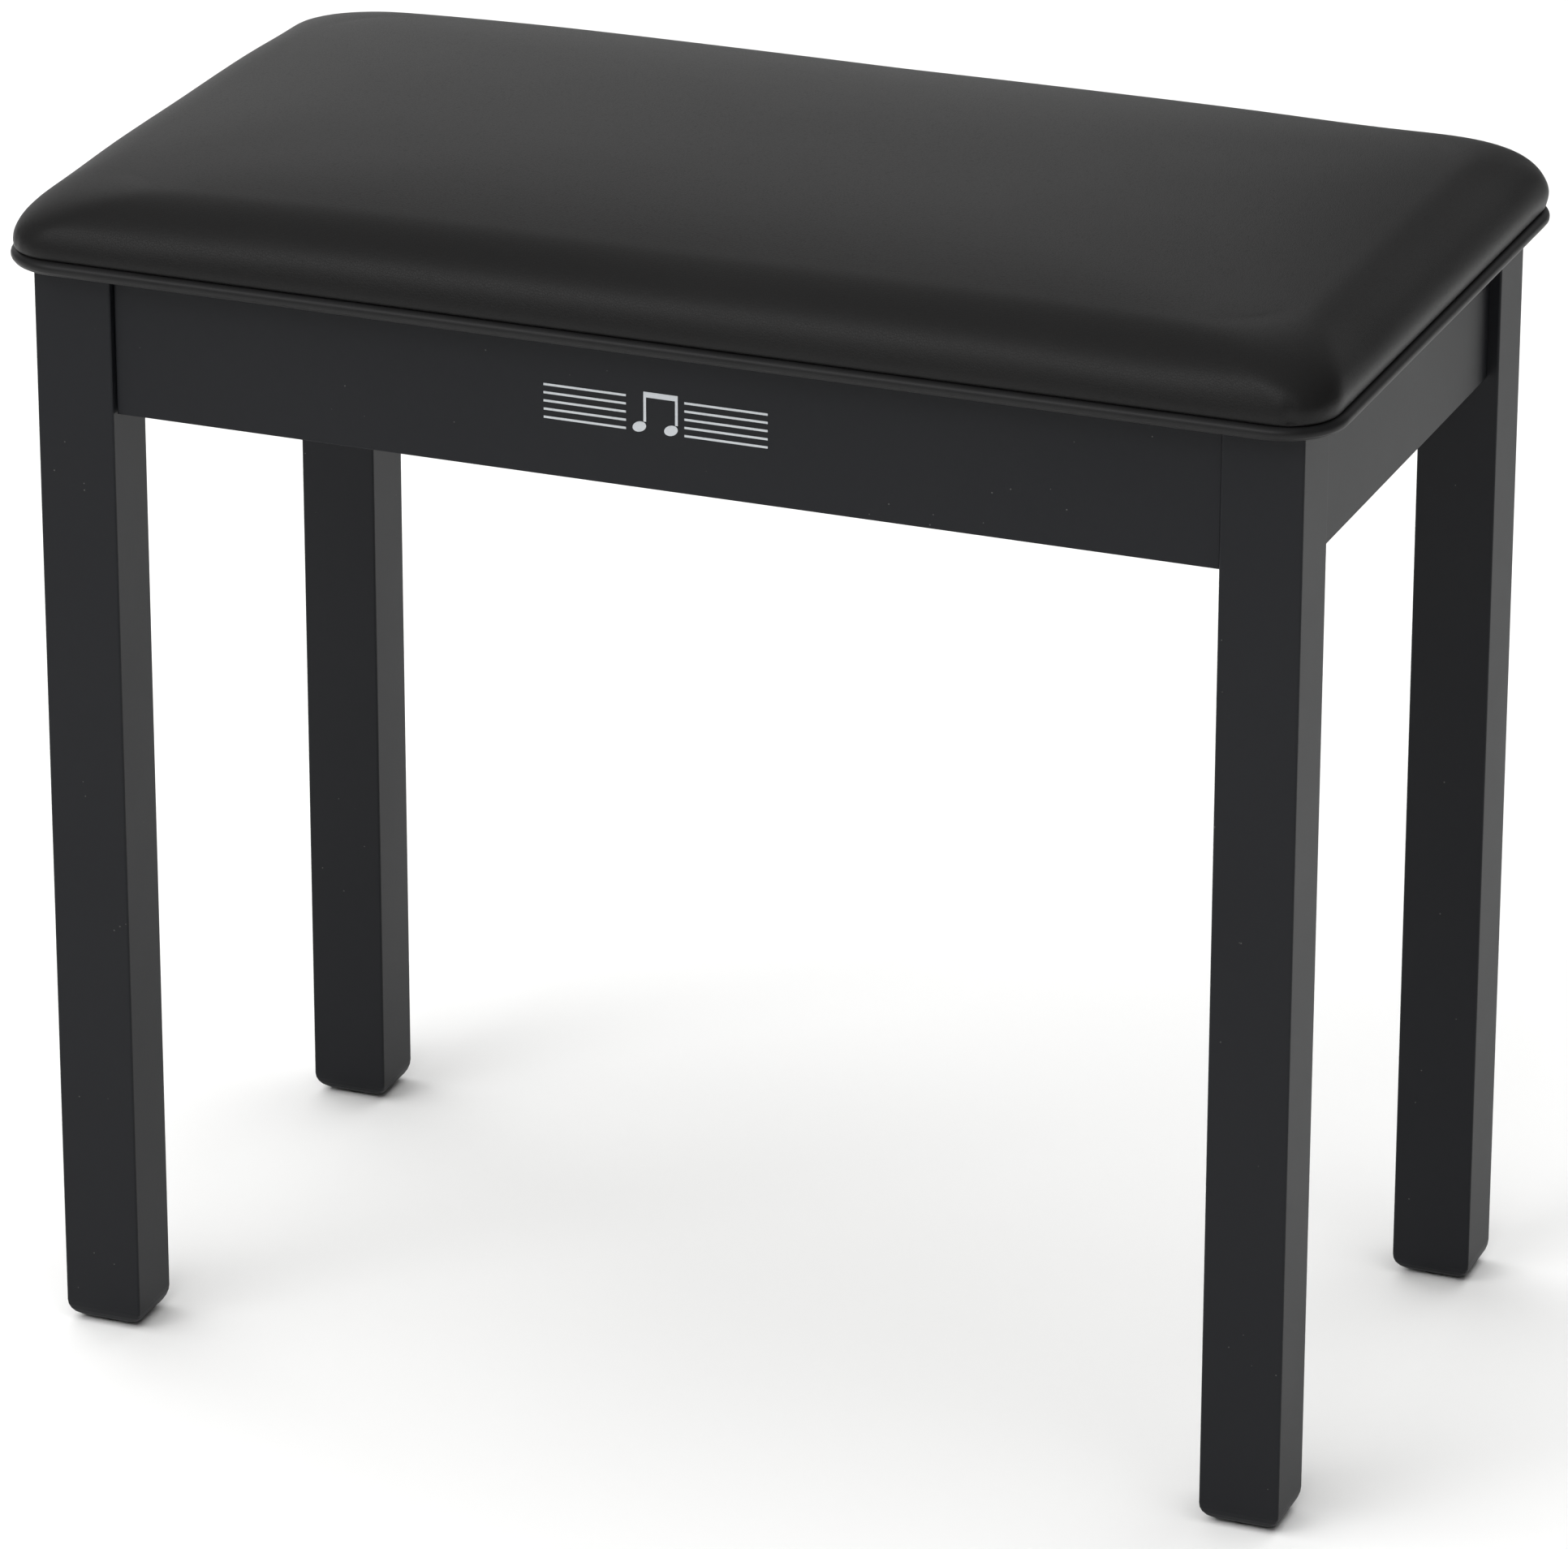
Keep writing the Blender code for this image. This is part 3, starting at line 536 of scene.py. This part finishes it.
def joinNested(shape, outer, inner, countX, countY):
    # quads between the rim of a grid and the next ring in, which is shorter by one quad at every corner
    starts = (0, countX, countX + countY, 2 * countX + countY)
    lengths = (countX, countY, countX, countY)
    innerStarts = (0, countX - 2, countX + countY - 4, 2 * countX + countY - 6)
    total, innerTotal = len(outer), len(inner)
    for start, length, innerStart in zip(starts, lengths, innerStarts):
        for step in range(1, length - 1):
            shape.faces.new((
                outer[(start + step) % total], outer[(start + step + 1) % total],
                inner[(innerStart + step) % innerTotal], inner[(innerStart + step - 1) % innerTotal],
            ))
        shape.faces.new((
            outer[(start - 1) % total], outer[start % total], outer[(start + 1) % total],
            inner[innerStart % innerTotal],
        ))


def fillRing(shape, ring, countX, countY, heightAt):
    # a Coons patch of quads inside a ring, at the heights asked for
    front = ring[0:countX + 1]
    right = ring[countX:countX + countY + 1]
    rear = list(reversed(ring[countX + countY:2 * countX + countY + 1]))
    left = [ring[0]] + list(reversed(ring[2 * countX + countY:]))
    grid = {}
    for i in range(countX + 1):
        for j in range(countY + 1):
            if j == 0:
                grid[i, j] = front[i]
            elif j == countY:
                grid[i, j] = rear[i]
            elif i == 0:
                grid[i, j] = left[j]
            elif i == countX:
                grid[i, j] = right[j]
            else:
                u, v = i / countX, j / countY
                point = (front[i].co * (1 - v) + rear[i].co * v + left[j].co * (1 - u) + right[j].co * u
                         - front[0].co * (1 - u) * (1 - v) - front[-1].co * u * (1 - v)
                         - rear[0].co * (1 - u) * v - rear[-1].co * u * v)
                point.z = heightAt(point.x, point.y)
                grid[i, j] = shape.verts.new(point)
    for i in range(countX):
        for j in range(countY):
            shape.faces.new((grid[i, j], grid[i + 1, j], grid[i + 1, j + 1], grid[i, j + 1]))


def stretchCover(form):
    # inflate the cover over its foam, keep the drape, scale it to the wanted rise
    rest = [vert.co.copy() for vert in form.data.vertices]
    stretch = {
        "quality": 6,
        "mass": 0.6,
        "tension_stiffness": 40,
        "compression_stiffness": 40,
        "shear_stiffness": 20,
        "bending_stiffness": 6,
        "tension_damping": 15,
        "use_pressure": True,
        "uniform_pressure_force": 4.0,
        "vertex_group_mass": "pinned",
        "pin_stiffness": 5.0,
    }
    cloth = form.modifiers.new("cloth", "CLOTH")
    for key, value in stretch.items():
        setattr(cloth.settings, key, value)
    cloth.settings.effector_weights.gravity = 0.0
    cloth.collision_settings.use_collision = False
    scene = bpy.context.scene
    scene.frame_start, scene.frame_end = 1, cushion["frames"]
    cloth.point_cache.frame_start, cloth.point_cache.frame_end = 1, cushion["frames"]
    for step in range(1, cushion["frames"] + 1):
        scene.frame_set(step)
    depsgraph = bpy.context.evaluated_depsgraph_get()
    swollen = [vert.co.copy() for vert in form.evaluated_get(depsgraph).data.vertices]
    form.modifiers.remove(cloth)
    scene.frame_set(1)
    moves = smoothMoves(form, [after - before for before, after in zip(rest, swollen)])
    tallest = max(move.z for move in moves)
    print("cover swelled by", round(tallest / mm, 2), "mm before scaling")
    share = cushion["swell"] / max(tallest, 0.1 * mm)
    for vert, before, move in zip(form.data.vertices, rest, moves):
        vert.co = before + move * share


def smoothMoves(form, moves):
    # soft foam irons out the cloth's small wrinkles and leaves its broad swell
    neighbours = [[] for move in moves]
    for edge in form.data.edges:
        first, second = edge.vertices
        neighbours[first].append(second)
        neighbours[second].append(first)
    held = [move.length < 0.001 * mm for move in moves]
    for step in range(cushion["ironing"]):
        spread = []
        for index, move in enumerate(moves):
            if held[index]:
                spread.append(move)
                continue
            mean = sum((moves[other] for other in neighbours[index]), Vector()) / len(neighbours[index])
            spread.append(move.lerp(mean, cushion["ironingStrength"]))
        moves = spread
    return moves


def settleFilling(form, rimZ):
    # the stuffing is a little uneven: fuller and further over on the right, slacker in two corners
    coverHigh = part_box("seat_cover")[1]
    cornerX, cornerY = coverHigh.x - cushion["cornerInset"], coverHigh.y - cushion["cornerInset"]
    pinned = form.vertex_groups["pinned"].index
    for vert in form.data.vertices:
        if vert.co.z < rimZ or pinned in [item.group for item in vert.groups]:
            continue
        rise = min((vert.co.z - rimZ) / cushion["liftHeight"], 1.0)
        share = rise * rise * (3 - 2 * rise)
        early = min((vert.co.z - rimZ) / cushion["leanHeight"], 1.0)
        lift = cushion["tilt"] * vert.co.x / coverHigh.x
        for name, (signX, signY) in corners.items():
            away = Vector((vert.co.x - signX * cornerX, vert.co.y - signY * cornerY))
            lift += cushion["cornerLift"][name] * math.exp(-(away.length / cushion["cornerReach"]) ** 2)
        vert.co.z += lift * share
        vert.co.x += cushion["lean"] * early * (0.5 + 0.5 * vert.co.x / coverHigh.x)


def pleatCorners(form, rimZ):
    # small gathers where the vinyl is pulled round each corner, dying out up the wall
    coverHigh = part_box("seat_cover")[1]
    centreX, centreY = coverHigh.x - cushion["pleatRadius"], coverHigh.y - cushion["pleatRadius"]
    for vert in form.data.vertices:
        x, y, z = vert.co
        outX, outY = abs(x) - centreX, abs(y) - centreY
        rise = (z - rimZ) / cushion["pleatHeight"]
        if outX <= 0 or outY <= 0 or not 0.05 < rise < 1:
            continue
        turn = math.degrees(math.atan2(outY, outX))
        middle = math.exp(-((turn - 45) / cushion["pleatSpread"]) ** 2)
        seed = 1.7 * math.copysign(1, x) + 0.9 * math.copysign(1, y)
        waves = cushion["pleatWaves"]
        wave = sum(share * math.sin(turn * rate + shift * seed) for share, rate, shift in waves)
        fade = (1 - rise) ** cushion["pleatFade"]
        depth = cushion["pleat"] * middle * wave * fade
        if x > 0 > y:
            along = (turn - cushion["puckerTurn"]) / cushion["puckerSpread"]
            depth -= cushion["pucker"] * math.exp(-along * along) * fade
        outward = Vector((math.copysign(outX, x), math.copysign(outY, y), 0)).normalized()
        vert.co += outward * depth


def makeCushion():
    form, rimZ = buildCushionForm()
    stretchCover(form)
    settleFilling(form, rimZ)
    soften = form.modifiers.new("soften", "SUBSURF")
    soften.levels = 1
    depsgraph = bpy.context.evaluated_depsgraph_get()
    form.data = bpy.data.meshes.new_from_object(form.evaluated_get(depsgraph))
    form.modifiers.remove(soften)
    pleatCorners(form, rimZ)
    form.data.shade_smooth()
    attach(form, "root")
    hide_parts("seat_cover", "foam_pad")
    print("cushion made")


def makeWelt():
    data = {"groove": 0.22 * mm, "grooveAt": -38, "grooveSpread": 7, "flange": 20.0 * mm,
            "flangeThickness": 1.0 * mm, "rootShare": 0.8, "rollFrom": 205, "rollSweep": 295, "steps": 44,
            "corner": 23.2 * mm, "countX": 180, "countY": 104, "wander": 0.10 * mm, "wanderScale": 14,
            "joint": 0.35 * mm}
    low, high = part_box("seat_welt")
    radius = (high.z - low.z) / 2
    halfX, halfY = high.x - radius, high.y - radius
    middle = (low.z + high.z) / 2

    # Section, from the flange over the roll, with a faint groove near its foot.
    flangeTop = -radius + data["flangeThickness"]
    section = [(-data["flange"], flangeTop), (-radius * data["rootShare"], flangeTop)]
    for step in range(data["steps"] + 1):
        turn = data["rollFrom"] - data["rollSweep"] * step / data["steps"]
        dip = data["groove"] * math.exp(-((turn - data["grooveAt"]) / data["grooveSpread"]) ** 2)
        angle = math.radians(turn)
        section.append(((radius - dip) * math.cos(angle), (radius - dip) * math.sin(angle)))
    section.append((-data["flange"], -radius))

    path = roundedRing(halfX, halfY, data["corner"], data["countX"], data["countY"])
    # Start the run at the middle of the rear, where its ends butt together.
    split = data["countX"] + data["countY"] + data["countX"] // 2
    path = path[split:] + path[:split]
    path = [Vector(point) for point in path] + [Vector(path[0])]
    path[0].x -= data["joint"] / 2
    path[-1].x += data["joint"] / 2
    shape = bmesh.new()
    rings = []
    for index, point in enumerate(path):
        before = path[max(index - 1, 0)]
        after = path[min(index + 1, len(path) - 1)]
        along = (after - before).normalized()
        outward = Vector((along.y, -along.x))
        spot = Vector((point.x * data["wanderScale"], point.y * data["wanderScale"], 3.1))
        sway = data["wander"] * noise.noise(spot)
        ring = []
        for out, up in section:
            out = out + sway if out > 0 else out
            ring.append(shape.verts.new((point.x + outward.x * out, point.y + outward.y * out, middle + up)))
        rings.append(ring)
    for ring, following in zip(rings, rings[1:]):
        for index in range(len(section)):
            beyond = (index + 1) % len(section)
            shape.faces.new((ring[index], following[index], following[beyond], ring[beyond]))
    shape.faces.new(rings[0])
    shape.faces.new(rings[-1])
    welt = makePiece("seatWelt", shape, finishes["welt"], 50)
    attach(welt, "root")
    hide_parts("seat_welt")
    print("welt made")


def makePrintedMark():
    # plain five-line stave with a pair of joined notes, printed on the front apron
    data = {"length": 92 * mm, "lineWidth": 0.9 * mm, "gap": 3.3 * mm, "height": 0.12 * mm,
            "offset": 0.15 * mm, "raise": 1 * mm, "noteGap": 13 * mm, "clearance": 5.5 * mm, "beam": 2.2 * mm,
            "stem": 13 * mm, "stemHalf": 0.55 * mm, "stemGap": 0.25 * mm, "headX": 2.9 * mm,
            "headZ": 2.0 * mm, "headTilt": 22, "headSteps": 28, "top": 1.2, "foot": 1.6}
    low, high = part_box("front_apron")
    curve = bpy.data.curves.new("printedMark", "CURVE")
    curve.dimensions = "2D"
    curve.fill_mode = "BOTH"
    curve.extrude = data["height"] / 2

    def outline(points):
        spline = curve.splines.new("POLY")
        spline.points.add(len(points) - 1)
        for knot, (x, y) in zip(spline.points, points):
            knot.co = (x, y, 0, 1)
        spline.use_cyclic_u = True

    def bar(x0, y0, x1, y1):
        outline([(x0, y0), (x1, y0), (x1, y1), (x0, y1)])

    half = data["length"] / 2
    notes = [-data["noteGap"] / 2, data["noteGap"] / 2]
    reach = data["noteGap"] / 2 + data["clearance"]
    for line in range(-2, 3):
        y = line * data["gap"]
        thick = data["lineWidth"] / 2
        # The lines stop short of the notes, so that every outline stays clear of the next.
        bar(-half, y - thick, -reach, y + thick)
        bar(reach, y - thick, half, y + thick)
    tilt = math.radians(data["headTilt"])
    top = data["stem"] - data["gap"] * data["top"]
    foot = -data["gap"] * data["foot"]
    stem = data["stemHalf"]
    for x in notes:
        head = []
        for step in range(data["headSteps"]):
            turn = 2 * math.pi * step / data["headSteps"]
            hx, hy = data["headX"] * math.cos(turn), data["headZ"] * math.sin(turn)
            head.append((x + hx * math.cos(tilt) - hy * math.sin(tilt),
                         foot + hx * math.sin(tilt) + hy * math.cos(tilt)))
        outline(head)
    # Stems and beam are one outline, standing on the right of each head.
    left = notes[0] + data["headX"] - 1.2 * stem
    right = notes[1] + data["headX"] - 1.2 * stem
    lift = foot + data["headZ"] + data["stemGap"]
    beam = data["beam"]
    outline([
        (left - stem, lift), (left + stem, lift), (left + stem, top - beam), (right - stem, top - beam),
        (right - stem, lift), (right + stem, lift), (right + stem, top), (left - stem, top),
    ])
    mark = bpy.data.objects.new("printedMark", curve)
    bpy.context.scene.collection.objects.link(mark)
    mark.location = ((low.x + high.x) / 2, low.y - data["offset"], (low.z + high.z) / 2 + data["raise"])
    mark.rotation_euler = (math.radians(90), 0, 0)
    curve.materials.append(finishes["print"])
    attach(mark, "root")
    print("printed mark made")


def makeDustCover():
    # thin cloth stapled under the board, sagging a little between its staples
    data = {"thickness": 0.25 * mm, "sag": 0.9 * mm, "stepX": 96, "stepY": 40, "ripplesX": 4.0,
            "ripplesY": 2.5}
    low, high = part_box("dust_cover")
    top = high.z - data["thickness"] / 2
    shape = bmesh.new()
    bmesh.ops.create_grid(shape, x_segments=data["stepX"], y_segments=data["stepY"], size=1.0)
    halfX, halfY = (high.x - low.x) / 2, (high.y - low.y) / 2
    for vert in shape.verts:
        u, v = vert.co.x, vert.co.y
        belly = (1 - u ** 4) * (1 - v ** 4)
        ripple = 0.5 + 0.5 * noise.noise(Vector((u * data["ripplesX"], v * data["ripplesY"], 0.4)))
        drop = data["sag"] * belly * ripple
        vert.co = Vector((u * halfX, v * halfY, top - drop))
    cover = makePiece("dustCover", shape, finishes["cloth"])
    cover.data.shade_smooth()
    skin = cover.modifiers.new("skin", "SOLIDIFY")
    skin.thickness = data["thickness"]
    skin.offset = 0.0
    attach(cover, "root")
    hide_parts("dust_cover")
    print("dust cover made")


def makeStaples():
    data = {"crown": 9.0 * mm, "wire": 0.8 * mm, "round": 0.25 * mm, "pitch": 38 * mm, "inset": 5 * mm,
            "below": 0.35 * mm, "skew": 9}
    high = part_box("dust_cover")[1]
    dice = random.Random(7)
    shape = bmesh.new()
    level = high.z - data["below"] - data["wire"] / 2

    def staple(x, y, alongX):
        block = bmesh.ops.create_cube(shape, size=1.0)["verts"]
        plan = (data["crown"], data["wire"]) if alongX else (data["wire"], data["crown"])
        bmesh.ops.scale(shape, verts=block, vec=(*plan, data["wire"]))
        spin = Matrix.Rotation(math.radians(dice.uniform(-data["skew"], data["skew"])), 4, "Z")
        bmesh.ops.transform(shape, matrix=Matrix.Translation((x, y, level)) @ spin, verts=block)

    edgeX, edgeY = high.x - data["inset"], high.y - data["inset"]
    countX = round(2 * edgeX / data["pitch"])
    countY = round(2 * edgeY / data["pitch"])
    for side in (-1, 1):
        for index in range(countX + 1):
            staple(-edgeX + 2 * edgeX * index / countX, side * edgeY, True)
        for index in range(1, countY):
            staple(side * edgeX, -edgeY + 2 * edgeY * index / countY, False)
    staples = makePiece("dustCoverStaples", shape, finishes["zinc"])
    bevel = staples.modifiers.new("wire", "BEVEL")
    bevel.width = data["round"]
    bevel.segments = 2
    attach(staples, "root")
    print("staples made")


def addSoftbox(name, place, target, size, radiance, mirrored=True):
    # a card of even light; one that isn't mirrored lights the floor without showing in the gloss
    lamp = bpy.data.lights.new(name, "AREA")
    lamp.shape = "RECTANGLE"
    lamp.size, lamp.size_y = size
    lamp.energy = radiance * math.pi * size[0] * size[1]
    box = bpy.data.objects.new(name, lamp)
    box.location = place
    box.rotation_euler = (Vector(target) - Vector(place)).to_track_quat("-Z", "Y").to_euler()
    box.visible_glossy = mirrored
    bpy.context.scene.collection.objects.link(box)


def setStudio():
    room = {"floorHalf": 14.0, "light": 0.17, "darkening": 0.09}
    seat = (0, 0, 0.45)
    softboxes = {
        "overheadBox": {"place": (-0.4, -0.1, 3.5), "size": (6.6, 6.6), "radiance": 2.4, "mirrored": False},
        "backCard": {"place": (-3.6, 4.45, 2.4), "size": (5.7, 4.6), "radiance": 0.55},
        "sideCard": {"place": (1.4, 4.8, 1.9), "size": (2.6, 2.4), "radiance": 0.32},
        "frontCard": {"place": (-0.9, -3.4, 2.9), "size": (4.4, 1.4), "radiance": 4.3},
    }
    for name, box in softboxes.items():
        addSoftbox(name, box["place"], seat, box["size"], box["radiance"], box.get("mirrored", True))
    world = bpy.data.worlds.new("studio")
    bpy.context.scene.world = world
    sky = Finish(world)
    outward = sky.add("ShaderNodeTexCoord").out("Generated")
    across = sky.add("ShaderNodeSeparateXYZ", None, {0: outward}).out(0)
    # The room is darker towards the right of the bench.
    light = room["light"] - across * room["darkening"]
    glow = sky.add("ShaderNodeBackground", None, {0: (1, 1, 1, 1), 1: light})
    sky.add("ShaderNodeOutputWorld", None, {0: glow})
    floorMesh = bmesh.new()
    bmesh.ops.create_grid(floorMesh, x_segments=1, y_segments=1, size=room["floorHalf"])
    floor = makePiece("studioFloor", floorMesh, finishes["floor"])
    bpy.context.scene.view_settings.view_transform = "Standard"
    print("studio set")


zincParts = ("corner_bracket", "hanger_bolt", "washer", "hex_nut", "bracket_screw", "seat_screw")
setCamera()
for nodeName in nodes:
    if nodeName.startswith("leg_") or nodeName.endswith("_apron"):
        dressNode(nodeName, finishes["foil"])
    elif nodeName.endswith("_cleat"):
        dressNode(nodeName, finishes["cleat"])
    elif nodeName == "seat_board":
        dressNode(nodeName, finishes["chip"])
    elif nodeName.startswith("foot_glide"):
        dressNode(nodeName, finishes["glide"])
    elif nodeName.startswith(zincParts):
        dressNode(nodeName, finishes["zinc"])
makeCushion()
makeWelt()
makePrintedMark()
makeDustCover()
makeStaples()
setStudio()
